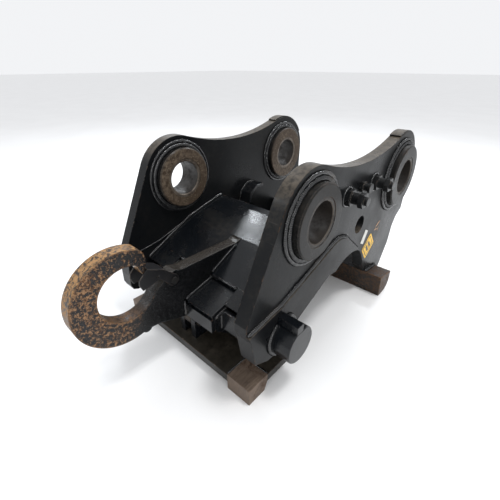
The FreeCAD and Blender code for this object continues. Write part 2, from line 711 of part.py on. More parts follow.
# ---------------------------------------------------------------- wedge
front_y, bar_rear = dim("wedge_front_y"), dim("wedge_bar_rear_y")
half_width, tongue = dim("wedge_half_width"), dim("tongue_half_width")
notch_x = half_width - dim("block_width")
notch_y = front_y + dim("block_length")
wedge = Outline((-notch_x, front_y)).line((notch_x, front_y), (notch_x, notch_y), (half_width, notch_y))
wedge.line((half_width, bar_rear), (tongue, bar_rear), (tongue, dim("tongue_rear_y")))
wedge.line((-tongue, dim("tongue_rear_y")), (-tongue, bar_rear), (-half_width, bar_rear))
wedge.line((-half_width, notch_y), (-notch_x, notch_y)).close()
wedge_body = padded("wedge_plate", "XY_Plane", wedge, "Dims.wedge_thickness")
bind_place(wedge_body, z="Dims.wedge_top_z - Dims.wedge_thickness")
keep(wedge_body)

# wear block: flat worn top, heel that slopes forward towards the ground
block_top = wedge_top + dim("block_proud")
wear_block = Outline((front_y, block_top)).line((notch_y, block_top), (notch_y, wedge_low))
wear_block.line((notch_y - 10.0, ground), (front_y, ground)).close()
sided("wedge_block", wear_block, "Dims.wedge_half_width - Dims.block_width", "Dims.block_width")

cylinder_z = dim("cylinder_z")
eye_radius = dim("eye_radius")
pin_radius = dim("cylinder_pin_radius")
rod_eye_y, anchor_y = dim("rod_eye_y"), dim("anchor_eye_y")
lug_in = dim("eye_half_thickness") + dim("lug_gap")
lug_out = lug_in + dim("lug_thickness")


def wedge_lug(low, high):
    foot = block((low, rod_eye_y - eye_radius, wedge_top), (high, rod_eye_y + eye_radius, cylinder_z))
    return foot.fuse(rod_x(eye_radius, low, high, rod_eye_y, cylinder_z)).removeSplitter()


def anchor_lug(low, high):
    arm = block((low, anchor_y, cylinder_z - eye_radius), (high, bulkhead_front, cylinder_z + eye_radius))
    return arm.fuse(rod_x(eye_radius, low, high, anchor_y, cylinder_z)).removeSplitter()


lug_spans = ((lug_in, lug_out), (-lug_out, -lug_in))
rod_pin = rod_x(pin_radius, -lug_out - 4.0, lug_out + 4.0, rod_eye_y, cylinder_z)
anchor_pin = rod_x(pin_radius, -lug_out - 4.0, lug_out + 4.0, anchor_y, cylinder_z)
solid_feature("wedge_lugs", Part.makeCompound([wedge_lug(*span).cut(rod_pin) for span in lug_spans]))
solid_feature("anchor_lugs", Part.makeCompound([anchor_lug(*span).cut(anchor_pin) for span in lug_spans]))
solid_feature("rod_pin", rod_pin)
solid_feature("anchor_pin", anchor_pin)

# ---------------------------------------------------------------- cylinder
barrel_out, barrel_in = dim("barrel_outer_radius"), dim("barrel_inner_radius")
barrel_front, barrel_rear = dim("barrel_front_y"), dim("barrel_rear_y")
rod_radius = dim("rod_radius")
running = dim("running_gap")
GLAND_FLANGE = 12.0
GLAND_SPIGOT = 18.0
SEAL_WIDTH = 5.0
SEAL_DEPTH = 4.0
SPIGOT_RADIUS = 12.0
NUT_LENGTH = 9.0
NUT_RADIUS = 17.0

barrel = rod_y(barrel_out, barrel_front, barrel_rear - dim("cap_length"), 0, cylinder_z)
solid_feature("cylinder_barrel", barrel.cut(rod_y(barrel_in, barrel_front, barrel_rear, 0, cylinder_z)))

eye_half = dim("eye_half_thickness")
cap = rod_y(barrel_out, barrel_rear - dim("cap_length"), barrel_rear, 0, cylinder_z)
cap_neck = block((-eye_half, barrel_rear, cylinder_z - eye_radius), (eye_half, anchor_y, cylinder_z + eye_radius))
cap = cap.fuse([cap_neck, rod_x(eye_radius, -eye_half, eye_half, anchor_y, cylinder_z)]).cut(anchor_pin)
solid_feature("cylinder_end_cap", cap.removeSplitter())

gland = rod_y(barrel_out, barrel_front - GLAND_FLANGE, barrel_front, 0, cylinder_z)
gland = gland.fuse(rod_y(barrel_in, barrel_front, barrel_front + GLAND_SPIGOT, 0, cylinder_z))
gland = gland.cut(rod_y(rod_radius + running, barrel_front - GLAND_FLANGE, barrel_front + GLAND_SPIGOT, 0, cylinder_z))
seal_front = barrel_front - GLAND_FLANGE
wiper = rod_y(rod_radius + SEAL_DEPTH, seal_front, seal_front + SEAL_WIDTH, 0, cylinder_z)
solid_feature("cylinder_gland", gland.cut(wiper).removeSplitter())
solid_feature("wiper_seal", wiper.cut(rod_y(rod_radius + running, seal_front, barrel_rear, 0, cylinder_z)))

piston_front = dim("piston_front_y")
piston_rear = piston_front + dim("piston_length")
rod = rod_y(rod_radius, rod_eye_y + eye_radius, piston_front, 0, cylinder_z)
rod = rod.fuse(rod_y(SPIGOT_RADIUS, piston_front, piston_rear + NUT_LENGTH, 0, cylinder_z))
solid_feature("piston_rod", rod.removeSplitter())

eye = rod_x(eye_radius, -eye_half, eye_half, rod_eye_y, cylinder_z)
eye_neck = block((-eye_half, rod_eye_y, cylinder_z - eye_radius),
                 (eye_half, rod_eye_y + eye_radius, cylinder_z + eye_radius))
solid_feature("rod_eye", eye.fuse(eye_neck).cut(rod_pin).removeSplitter())

piston_radius = barrel_in - running
spigot = rod_y(SPIGOT_RADIUS, piston_front, piston_rear + NUT_LENGTH, 0, cylinder_z)
groove_front = (piston_front + piston_rear - SEAL_WIDTH) / 2
groove = rod_y(barrel_in, groove_front, groove_front + SEAL_WIDTH, 0, cylinder_z)
groove = groove.cut(rod_y(barrel_in - SEAL_DEPTH, groove_front, groove_front + SEAL_WIDTH, 0, cylinder_z))
piston = rod_y(piston_radius, piston_front, piston_rear, 0, cylinder_z).cut(spigot).cut(groove)
solid_feature("piston", piston)
seal_ring = rod_y(piston_radius, groove_front, groove_front + SEAL_WIDTH, 0, cylinder_z).common(groove)
solid_feature("piston_seal", seal_ring)
nut = rod_y(NUT_RADIUS, piston_rear, piston_rear + NUT_LENGTH, 0, cylinder_z).cut(spigot)
solid_feature("piston_nut", nut)

VALVE_HALF_WIDTH = 35.0
VALVE_FRONT = 15.0
VALVE_REAR = 75.0
VALVE_HEIGHT = 34.0
valve_low = cylinder_z + barrel_out
solid_feature("check_valve_block", block((-VALVE_HALF_WIDTH, VALVE_FRONT, valve_low),
                                         (VALVE_HALF_WIDTH, VALVE_REAR, valve_low + VALVE_HEIGHT)))

# ---------------------------------------------------------------- hydraulic ports and pipes
ELBOW_HALF = 12.0
ELBOW_DEPTH = 22.0
PORT_STATIONS = ((0.0, 13.0, 36.0, True), (13.0, 30.0, 13.5, False), (30.0, 42.0, 32.0, True),
                 (42.0, 50.0, 10.0, False))
TEST_STATIONS = ((0.0, 9.0, 24.0, True), (9.0, 20.0, 9.0, False), (20.0, 26.0, 12.0, False))


def port_fitting(centre, shank_radius, stations):
    """Bulkhead fitting: a shank through the plate and hexagons and collars along X outside it."""
    shape = rod_x(shank_radius, half, plate_outer, *centre)
    for low, high, size, is_hexagon in stations:
        maker = hexagon_x if is_hexagon else rod_x
        shape = shape.fuse(maker(size, plate_outer + low, plate_outer + high, *centre))
    return shape.removeSplitter()


fittings = [port_fitting(centre, PORT_HOLE_RADIUS, PORT_STATIONS) for centre in port_centres.values()]
solid_feature("port_fittings", Part.makeCompound(fittings))
solid_feature("test_port", port_fitting(TEST_PORT_CENTRE, TEST_PORT_RADIUS, TEST_STATIONS))

elbows = [block((half - ELBOW_DEPTH, y - ELBOW_HALF, z - ELBOW_HALF), (half, y + ELBOW_HALF, z + ELBOW_HALF))
          for y, z in port_centres.values()]
solid_feature("port_elbows", Part.makeCompound(elbows))


def pipe(points, radius, bend):
    """Rigid pipe along straight runs joined by arcs."""
    points = [VEC(*point) for point in points]
    edges = []
    here = points[0]
    for before, corner, after in zip(points, points[1:], points[2:]):
        inward, outward = (before - corner).normalize(), (after - corner).normalize()
        half_turn = (math.pi - inward.getAngle(outward)) / 2
        setback = bend * math.tan(half_turn)
        first, last = corner + inward * setback, corner + outward * setback
        bisector = (inward + outward).normalize()
        middle = corner + bisector * (bend / math.cos(half_turn) - bend)
        edges.append(Part.LineSegment(here, first).toShape())
        edges.append(Part.Arc(first, middle, last).toShape())
        here = last
    edges.append(Part.LineSegment(here, points[-1]).toShape())
    path = Part.Wire(edges)
    section = Part.Wire(Part.Circle(points[0], points[1] - points[0], radius).toShape())
    tube = path.makePipeShell([section], True, False)
    expected = math.pi * radius ** 2 * path.Length
    if abs(tube.Volume / expected - 1) > 0.02:
        raise RuntimeError("a pipe's volume differs from its section times its length")
    return tube


pipe_x = half - ELBOW_DEPTH / 2
elbow_low = dim("port_z") - ELBOW_HALF
valve_top = valve_low + VALVE_HEIGHT
LOCK_DROP_Y = 176.0
RELEASE_DROP_Y = 208.0
lock_x, release_x = pipe_crossings["lock"][0], pipe_crossings["release"][0]
lock_route = [(pipe_x, port_centres["front"][0], elbow_low), (pipe_x, port_centres["front"][0], -38.0),
              (pipe_x, LOCK_DROP_Y, -72.0), (pipe_x, LOCK_DROP_Y, PIPE_Z), (lock_x, LOCK_DROP_Y, PIPE_Z),
              (lock_x, 108.0, PIPE_Z), (22.0, 55.0, -180.0), (22.0, 55.0, valve_top)]
release_route = [(pipe_x, port_centres["rear"][0], elbow_low), (pipe_x, port_centres["rear"][0], -46.0),
                 (pipe_x, RELEASE_DROP_Y, -62.0), (pipe_x, RELEASE_DROP_Y, PIPE_Z),
                 (release_x, RELEASE_DROP_Y, PIPE_Z), (release_x, 108.0, PIPE_Z), (-12.0, 40.0, -180.0),
                 (-12.0, 40.0, valve_top)]
solid_feature("lock_pipe", pipe(lock_route, dim("pipe_radius"), dim("pipe_bend")))
solid_feature("release_pipe", pipe(release_route, dim("pipe_radius"), dim("pipe_bend")))

# ---------------------------------------------------------------- check and write
doc.recompute()
for item in doc.Objects:
    if {"Invalid", "Error"} & set(item.State):
        raise RuntimeError(f"{item.Label} failed: {item.State}")
for node in NODES:
    if node.Shape.isNull() or not node.Shape.isValid() or not node.Shape.Solids:
        raise RuntimeError(f"{node.Label} has no valid solid")

os.makedirs("parts", exist_ok=True)
for node in NODES:
    node.Shape.exportStep(f"parts/{node.Label}.step")
print(f"{len(NODES)} nodes written")
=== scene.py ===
# Looks of a wedge-lock quick coupler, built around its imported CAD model. Lengths are in metres unless a
# comment says millimetres. X runs along the pins, -Y points to the lifting hook and Z is up.

import json
import math

import bmesh
import bpy
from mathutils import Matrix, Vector


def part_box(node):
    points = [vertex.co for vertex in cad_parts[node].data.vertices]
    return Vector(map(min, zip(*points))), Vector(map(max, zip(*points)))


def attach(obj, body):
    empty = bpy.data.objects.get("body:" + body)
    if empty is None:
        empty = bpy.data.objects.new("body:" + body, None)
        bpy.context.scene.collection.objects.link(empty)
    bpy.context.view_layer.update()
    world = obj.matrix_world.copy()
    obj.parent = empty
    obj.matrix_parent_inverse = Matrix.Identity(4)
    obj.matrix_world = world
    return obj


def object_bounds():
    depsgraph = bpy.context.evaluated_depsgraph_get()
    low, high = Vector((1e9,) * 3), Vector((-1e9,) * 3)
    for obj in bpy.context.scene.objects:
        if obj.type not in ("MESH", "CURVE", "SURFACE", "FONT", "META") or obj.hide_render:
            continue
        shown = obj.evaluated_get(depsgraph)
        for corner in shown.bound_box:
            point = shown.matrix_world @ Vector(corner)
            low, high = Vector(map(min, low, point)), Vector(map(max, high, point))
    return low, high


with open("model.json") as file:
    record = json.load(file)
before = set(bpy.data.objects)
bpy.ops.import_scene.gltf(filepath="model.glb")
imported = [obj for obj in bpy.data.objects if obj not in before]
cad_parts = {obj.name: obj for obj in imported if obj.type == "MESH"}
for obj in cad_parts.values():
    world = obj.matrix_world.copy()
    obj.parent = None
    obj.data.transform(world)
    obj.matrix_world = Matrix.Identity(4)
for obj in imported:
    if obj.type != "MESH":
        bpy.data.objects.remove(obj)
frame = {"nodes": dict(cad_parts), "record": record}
cad_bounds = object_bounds()
NODES = frame["nodes"]
MM = 0.001
SIDES = (("right", 1), ("left", -1))

# ---------------------------------------------------------------- places read from the CAD nodes
stick_low, stick_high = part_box("stick_pin_boss_right")
link_low, link_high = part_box("link_pin_boss_right")
plate_low, plate_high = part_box("side_plate_right")
block_low, block_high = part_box("wedge_block_right")
STICK = ((stick_low.y + stick_high.y) / 2, (stick_low.z + stick_high.z) / 2)
LINK = ((link_low.y + link_high.y) / 2, (link_low.z + link_high.z) / 2)
STICK_R = (stick_high.y - stick_low.y) / 2
LINK_R = (link_high.y - link_low.y) / 2
LOBE_R = plate_high.y - LINK[0]
PLATE_IN = plate_low.x
PLATE_OUT = plate_high.x
CARRIER_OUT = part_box("carrier_plate_right")[1].x
HOOK_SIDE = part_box("load_hook")[1].x
HOUSING_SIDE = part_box("housing_front_plate")[1].x
HOOD_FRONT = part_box("hood_plate")[0].y


# ---------------------------------------------------------------- node helpers
BEVEL_SAMPLES = 4
COAT_ROUGHNESS = 0.18


class Graph:
    """Small helper that builds one material's nodes."""

    def __init__(self, name):
        self.material = bpy.data.materials.new(name)
        self.material.use_nodes = True
        self.tree = self.material.node_tree
        self.tree.nodes.clear()
        self.coords = self.node("ShaderNodeTexCoord").outputs["Object"]

    def node(self, kind, **settings):
        item = self.tree.nodes.new(kind)
        for key, value in settings.items():
            setattr(item, key, value)
        return item

    def link(self, source, target):
        if hasattr(source, "links"):
            self.tree.links.new(source, target)
        else:
            target.default_value = source

    def noise(self, scale, detail, roughness=0.55, distortion=0.0, stretch=None, offset=0.0):
        vector = self.coords
        if stretch or offset:
            mapping = self.node("ShaderNodeMapping")
            mapping.inputs["Scale"].default_value = stretch or (1, 1, 1)
            mapping.inputs["Location"].default_value = (offset, offset * 0.7, offset * 1.3)
            self.link(vector, mapping.inputs["Vector"])
            vector = mapping.outputs["Vector"]
        item = self.node("ShaderNodeTexNoise")
        item.inputs["Scale"].default_value = scale
        item.inputs["Detail"].default_value = detail
        item.inputs["Roughness"].default_value = roughness
        item.inputs["Distortion"].default_value = distortion
        self.link(vector, item.inputs["Vector"])
        return item.outputs["Fac"]

    def ramp(self, value, low, high, out_low=0.0, out_high=1.0):
        """Smooth step of the value from low to high."""
        item = self.node("ShaderNodeMapRange", clamp=True, interpolation_type="SMOOTHSTEP")
        for key, number in (("From Min", low), ("From Max", high), ("To Min", out_low), ("To Max", out_high)):
            item.inputs[key].default_value = number
        self.link(value, item.inputs["Value"])
        return item.outputs["Result"]

    def math(self, operation, first, second=0.0, clamp=False):
        item = self.node("ShaderNodeMath", operation=operation, use_clamp=clamp)
        self.link(first, item.inputs[0])
        self.link(second, item.inputs[1])
        return item.outputs["Value"]

    def mix(self, fac, first, second):
        item = self.node("ShaderNodeMix", data_type="RGBA")
        self.link(fac, item.inputs[0])
        self.link(as_colour(first), item.inputs[6])
        self.link(as_colour(second), item.inputs[7])
        return item.outputs[2]

    def blend(self, fac, first, second):
        item = self.node("ShaderNodeMix", data_type="FLOAT")
        self.link(fac, item.inputs[0])
        self.link(first, item.inputs[2])
        self.link(second, item.inputs[3])
        return item.outputs[0]

    def edge(self, radius):
        """Mask that is 1 along sharp edges, within about the radius."""
        bevel = self.node("ShaderNodeBevel", samples=BEVEL_SAMPLES)
        bevel.inputs["Radius"].default_value = radius
        flat = self.node("ShaderNodeNewGeometry").outputs["True Normal"]
        dot = self.node("ShaderNodeVectorMath", operation="DOT_PRODUCT")
        self.link(bevel.outputs["Normal"], dot.inputs[0])
        self.link(flat, dot.inputs[1])
        return self.ramp(self.math("SUBTRACT", 1.0, dot.outputs["Value"]), 0.02, 0.25)

    def axis(self, letter):
        """Place along one axis of the frame."""
        split = self.node("ShaderNodeSeparateXYZ")
        self.link(self.coords, split.inputs["Vector"])
        return split.outputs[letter]

    def facing(self, letter):
        """Component of the surface normal along one axis."""
        split = self.node("ShaderNodeSeparateXYZ")
        self.link(self.node("ShaderNodeNewGeometry").outputs["Normal"], split.inputs["Vector"])
        return split.outputs[letter]

    def finish(self, colour, roughness, metallic=0.0, height=None, bump=0.3, distance=0.001,
               round_edges=0.0015, coat=0.0, specular=0.5):
        shader = self.node("ShaderNodeBsdfPrincipled")
        self.link(as_colour(colour), shader.inputs["Base Color"])
        self.link(roughness, shader.inputs["Roughness"])
        self.link(metallic, shader.inputs["Metallic"])
        shader.inputs["Specular IOR Level"].default_value = specular
        shader.inputs["Coat Weight"].default_value = coat
        shader.inputs["Coat Roughness"].default_value = COAT_ROUGHNESS
        normal = None
        if round_edges:
            bevel = self.node("ShaderNodeBevel", samples=BEVEL_SAMPLES)
            bevel.inputs["Radius"].default_value = round_edges
            normal = bevel.outputs["Normal"]
        if height is not None:
            bumps = self.node("ShaderNodeBump")
            bumps.inputs["Strength"].default_value = bump
            bumps.inputs["Distance"].default_value = distance
            self.link(height, bumps.inputs["Height"])
            if normal:
                self.link(normal, bumps.inputs["Normal"])
            normal = bumps.outputs["Normal"]
        if normal:
            self.link(normal, shader.inputs["Normal"])
        output = self.node("ShaderNodeOutputMaterial")
        self.link(shader.outputs["BSDF"], output.inputs["Surface"])
        return self.material


def as_colour(value):
    """Colour with its alpha, or the socket as it is."""
    return (*value, 1.0) if isinstance(value, tuple) and len(value) == 3 else value


# ---------------------------------------------------------------- materials
RUST_DARK = (0.035, 0.016, 0.008)
RUST_BROWN = (0.105, 0.048, 0.021)
RUST_ORANGE = (0.30, 0.125, 0.038)
TAN = (0.33, 0.215, 0.12)
DUST = (0.075, 0.062, 0.047)
SCRATCH = (0.10, 0.09, 0.08)
BARE_DARK = (0.07, 0.058, 0.048)
BARE_LIGHT = (0.15, 0.122, 0.098)
# light colour for faces that look up: rubbed wear on the saddle tops and a painted highlight
RUBBED_AND_LIT_TOP = (0.145, 0.12, 0.092)
STREAK_DARK = (0.030, 0.020, 0.013)
STREAK_LIGHT = (0.125, 0.095, 0.068)
STREAK_RUST = (0.052, 0.036, 0.024)
GLINT = (0.20, 0.16, 0.12)
# near black for the inside of a bush's bore: painted shade
BORE_SHADE = (0.008, 0.0055, 0.004)
BUSH_END = (0.012, 0.011, 0.010)
RIM_DARK = (0.022, 0.012, 0.007)
RIM_LOW = (0.085, 0.045, 0.022)
RIM_HIGH = (0.34, 0.19, 0.075)
WHOLE_PAINT = (0.0046, 0.0050, 0.0056)
# lighter colour for the hook body's faces that look up: rubbed wear and a painted highlight
THROAT_WEAR_AND_HIGHLIGHT = (0.034, 0.029, 0.024)
BEAD_DUST = (0.05, 0.043, 0.036)
LABEL_DIRT = (0.05, 0.035, 0.02)


def painted(name, black, grime=0.4, chips=0.35, gloss=0.25, rust_edges=0.3, scuffs=0.3, specular=0.24,
            tan_chips=0.0, worn_and_lit_tops=0.0, bare_inside=False):
    """Thick black enamel over steel plate: orange peel, dust in broad patches, chipped edges.

    worn_and_lit_tops lightens faces that look up, partly rubbed wear and partly a painted highlight;
    bare_inside bares the faces that look to the middle of the coupler.
    """
    g = Graph(name)
    patches = g.noise(7.0, 6.0, 0.6)
    fine = g.noise(90.0, 5.0, 0.65)
    speck = g.noise(260.0, 3.0, 0.6, offset=3.0)
    edges = g.edge(0.0035)
    chip_noise = g.noise(60.0, 6.0, 0.7, offset=1.7)
    chipped = g.math("MULTIPLY", edges, g.ramp(chip_noise, 0.62 - 0.22 * chips, 0.66 - 0.18 * chips))
    spot = g.ramp(g.noise(38.0, 7.0, 0.72, offset=5.0), 0.70 - 0.05 * chips, 0.72 - 0.05 * chips)
    dust = g.math("MULTIPLY", g.ramp(patches, 0.42, 0.72), g.ramp(fine, 0.35, 0.7))
    up = g.ramp(g.facing("Z"), 0.2, 0.95)
    dust = g.math("MULTIPLY", dust, g.blend(up, 0.35, 1.0))
    colour = g.mix(g.math("MULTIPLY", dust, grime), black, DUST)
    scratch = g.ramp(g.noise(30.0, 3.0, 0.6, stretch=(1.0, 1.0, 14.0), offset=9.0), 0.66, 0.74)
    colour = g.mix(g.math("MULTIPLY", scratch, scuffs * 0.4), colour, SCRATCH)
    rust = g.mix(g.ramp(speck, 0.4, 0.6), RUST_DARK, RUST_BROWN)
    steel = g.mix(g.ramp(speck, 0.35, 0.65), BARE_DARK, BARE_LIGHT)
    bare = g.mix(g.ramp(patches, 0.5 - 0.3 * rust_edges, 0.72 - 0.3 * rust_edges), steel, rust)
    wear = g.math("MAXIMUM", chipped, g.math("MULTIPLY", spot, chips), clamp=True)
    if tan_chips:
        tan_noise = g.ramp(g.noise(85.0, 6.0, 0.75, offset=11.0), 0.60, 0.66)
        bare = g.mix(g.math("MULTIPLY", tan_noise, tan_chips), bare, TAN)
    colour = g.mix(wear, colour, bare)
    if worn_and_lit_tops:
        # faces that look up are lightened: rubbed wear on the saddle tops, and a painted highlight along top
        # faces and edges
        rubbed = g.math("MULTIPLY", g.ramp(g.facing("Z"), 0.45, 0.9), g.ramp(fine, 0.30, 0.62, 0.35, 1.0))
        colour = g.mix(g.math("MULTIPLY", rubbed, worn_and_lit_tops), colour, RUBBED_AND_LIT_TOP)
    if bare_inside:
        outward = g.math("MULTIPLY", g.facing("X"), g.math("SIGN", g.axis("X")))
        mottle = g.math("ADD", chip_noise, g.math("MULTIPLY", patches, 0.4))
        inner = g.math("MULTIPLY", g.ramp(g.math("MULTIPLY", outward, -1.0), 0.55, 0.9),
                       g.ramp(mottle, 0.46, 0.60, 0.55, 1.0))
        streak = g.mix(g.ramp(fine, 0.34, 0.66), STREAK_DARK, STREAK_LIGHT)
        streak = g.mix(g.ramp(patches, 0.38, 0.62), streak, STREAK_RUST)
        colour = g.mix(inner, colour, g.mix(g.ramp(speck, 0.55, 0.75), streak, GLINT))
        wear = g.math("MAXIMUM", wear, g.math("MULTIPLY", inner, 0.6), clamp=True)
    rough = g.blend(g.ramp(patches, 0.35, 0.7), gloss, gloss + 0.16)
    rough = g.blend(g.math("MULTIPLY", dust, grime), rough, 0.75)
    rough = g.blend(wear, rough, 0.7)
    peel = g.math("ADD", g.math("MULTIPLY", g.noise(420.0, 2.0, 0.5), 0.25), g.math("MULTIPLY", fine, 0.5))
    height = g.math("SUBTRACT", g.math("ADD", peel, g.math("MULTIPLY", patches, 0.8)),
                    g.math("MULTIPLY", wear, 0.9))
    return g.finish(colour, rough, height=height, bump=0.3, distance=0.0014, coat=0.04, round_edges=0.0025,
                    specular=specular)


def worn_steel(name, light, stain, stained=0.5, gloss=0.38, metallic=0.75, orange=0.0, bush=False):
    """Dull worn steel with brown stains and fine scoring; a bush's bore is coloured near black as painted
    shade, and its outer end carries dark paint.
    """
    g = Graph(name)
    broad = g.noise(16.0, 6.0, 0.62)
    fine = g.noise(150.0, 5.0, 0.7)
    score = g.noise(45.0, 3.0, 0.6, stretch=(9.0, 1.0, 1.0), offset=2.0)
    mask = g.ramp(g.math("ADD", g.math("MULTIPLY", broad, 0.7), g.math("MULTIPLY", fine, 0.3)),
                  0.66 - 0.3 * stained, 0.74 - 0.2 * stained)
    base = g.mix(g.ramp(score, 0.35, 0.65), tuple(0.66 * c for c in light), light)
    colour = g.mix(mask, base, g.mix(g.ramp(fine, 0.4, 0.65), stain, tuple(0.45 * c for c in stain)))
    flecks = g.ramp(g.noise(110.0, 6.0, 0.7, offset=6.0), 0.72 - 0.1 * orange, 0.76 - 0.1 * orange)
    colour = g.mix(g.math("MULTIPLY", flecks, orange, clamp=True), colour, RUST_ORANGE)
    if bush:
        outward = g.math("MULTIPLY", g.facing("X"), g.math("SIGN", g.axis("X")))
        # the bore, the inside of the hole, is coloured near black and made barely metallic: painted shade
        bore = g.ramp(g.math("ABSOLUTE", outward), 0.2, 0.6, 1.0, 0.0)
        metallic = g.blend(bore, metallic, 0.05)
        colour = g.mix(g.math("MULTIPLY", bore, 0.93), colour, BORE_SHADE)
        colour = g.mix(g.math("MULTIPLY", g.ramp(outward, 0.5, 0.9), 0.85), colour, BUSH_END)
    rough = g.blend(mask, g.ramp(score, 0.3, 0.7, gloss, gloss + 0.14), 0.74)
    metal = g.blend(mask, metallic, 0.1)
    height = g.math("ADD", g.math("MULTIPLY", fine, 0.6), g.math("MULTIPLY", score, 0.4))
    return g.finish(colour, rough, metallic=metal, height=height, bump=0.35, distance=0.0008,
                    round_edges=0.0018)


def rusted_paint(name, black, cover, fleck, orange=0.35, rim=0.5, ring_end=None):
    """Steel whose black paint has flaked away in a fine mottle; rubbed rims show tan and orange rust.

    fleck is the colour of the flakes' bright specks. ring_end is the place along Y behind which the paint is
    whole again, on the hook's body.
    """
    g = Graph(name)
    broad = g.noise(6.0, 3.0, 0.5, offset=4.0)
    flakes = g.noise(130.0, 8.0, 0.74, distortion=0.5)
    fine = g.noise(420.0, 4.0, 0.65)
    edges = g.edge(0.007)
    field = g.math("ADD", flakes, g.math("MULTIPLY", g.math("SUBTRACT", broad, 0.5), 0.35))
    bare = g.ramp(field, 0.455 + 0.2 * cover, 0.50 + 0.2 * cover)
    rust = g.mix(g.ramp(fine, 0.4, 0.62), RUST_DARK, RUST_BROWN)
    bright = g.ramp(g.noise(95.0, 7.0, 0.75, offset=8.0), 0.68 - 0.16 * orange, 0.78 - 0.16 * orange)
    rust = g.mix(bright, rust, g.mix(g.ramp(fine, 0.45, 0.6), RUST_ORANGE, TAN))
    rust = g.mix(g.ramp(g.noise(210.0, 6.0, 0.7, offset=14.0), 0.44, 0.54), rust, fleck)
    worn = g.mix(g.ramp(fine, 0.4, 0.62), black, tuple(2.6 * c for c in black))
    colour = g.mix(bare, worn, rust)
    rubbed = g.math("MULTIPLY", edges, g.ramp(flakes, 0.50 - 0.2 * rim, 0.58 - 0.2 * rim), clamp=True)
    rubbed = g.math("MULTIPLY", rubbed, g.ramp(broad, 0.38, 0.56), clamp=True)
    rim_tint = g.mix(g.ramp(fine, 0.4, 0.6), RUST_ORANGE, TAN)
    colour = g.mix(g.math("MULTIPLY", rubbed, rim, clamp=True), colour, rim_tint)
    rough = g.blend(bare, g.ramp(broad, 0.3, 0.7, 0.24, 0.38), 0.62)
    if ring_end is not None:
        thick = g.ramp(g.math("ABSOLUTE", g.facing("X")), 0.25, 0.75, 1.0, 0.0)
        high = g.ramp(g.axis("Z"), -0.20, -0.06)
        rim_rust = g.mix(g.ramp(flakes, 0.44, 0.54), RIM_DARK, g.mix(high, RIM_LOW, RIM_HIGH))
        colour = g.mix(g.math("MULTIPLY", thick, 0.9), colour, rim_rust)
        station = g.math("ADD", g.axis("Y"), g.math("MULTIPLY", g.math("SUBTRACT", flakes, 0.5), 0.16))
        low = g.math("MULTIPLY", g.math("SUBTRACT", -0.13, g.axis("Z")), 0.45)
        body = g.ramp(g.math("ADD", station, low), ring_end - 0.02, ring_end + 0.02)
        # on the hook's body, faces that look up are lightened: rubbed wear and a painted highlight along the
        # throat's top edge
        worn_and_lit_top = g.math("MULTIPLY", g.ramp(g.facing("Z"), 0.45, 0.85),
                     g.ramp(g.axis("Y"), ring_end, ring_end + 0.03))
        paint = g.mix(g.math("MULTIPLY", worn_and_lit_top, g.ramp(fine, 0.3, 0.6, 0.3, 0.9)), WHOLE_PAINT, THROAT_WEAR_AND_HIGHLIGHT)
        colour = g.mix(body, colour, paint)
        rough = g.blend(body, rough, 0.26)
    height = g.math("SUBTRACT", g.math("MULTIPLY", fine, 0.35), g.math("MULTIPLY", bare, 0.6))
    return g.finish(colour, rough, height=height, bump=0.4, distance=0.001, round_edges=0.006, specular=0.3)


def bead_paint(name, black):
    """Glossy paint over a weld bead."""
    g = Graph(name)
    fine = g.noise(240.0, 4.0, 0.6)
    patches = g.noise(14.0, 5.0, 0.6)
    colour = g.mix(g.ramp(patches, 0.55, 0.8), black, BEAD_DUST)
    rough = g.ramp(patches, 0.3, 0.7, 0.10, 0.22)
    return g.finish(colour, rough, height=fine, bump=0.22, distance=0.0008, coat=0.35, round_edges=0,
                    specular=0.5)


def simple_metal(name, colour, gloss, metallic=1.0, bump=0.1):
    """Plain metal or rubber with faint smears."""
    g = Graph(name)
    fine = g.noise(190.0, 4.0, 0.6)
    smear = g.noise(20.0, 5.0, 0.6)
    tint = g.mix(g.ramp(smear, 0.4, 0.75, 0.0, 0.5), colour, tuple(0.55 * c for c in colour))
    rough = g.ramp(g.math("ADD", smear, g.math("MULTIPLY", fine, 0.3)), 0.4, 0.95, gloss, gloss + 0.25)
    return g.finish(tint, rough, metallic=metallic, height=fine, bump=bump, distance=0.0005,
                    round_edges=0.0008)


def flat_material(name, colour, dirt):
    """Printed film or thin paint with dirt in patches."""
    g = Graph(name)
    grain = g.noise(120.0, 5.0, 0.65)
    smear = g.noise(26.0, 5.0, 0.6, offset=2.0)
    worn = g.ramp(g.math("ADD", smear, g.math("MULTIPLY", grain, 0.3)), 0.62, 0.76)
    tone = g.mix(g.math("MULTIPLY", worn, dirt), colour, LABEL_DIRT)
    return g.finish(tone, g.ramp(grain, 0.3, 0.7, 0.35, 0.5), height=grain, bump=0.1, distance=0.0003,
                    round_edges=0, specular=0.4)


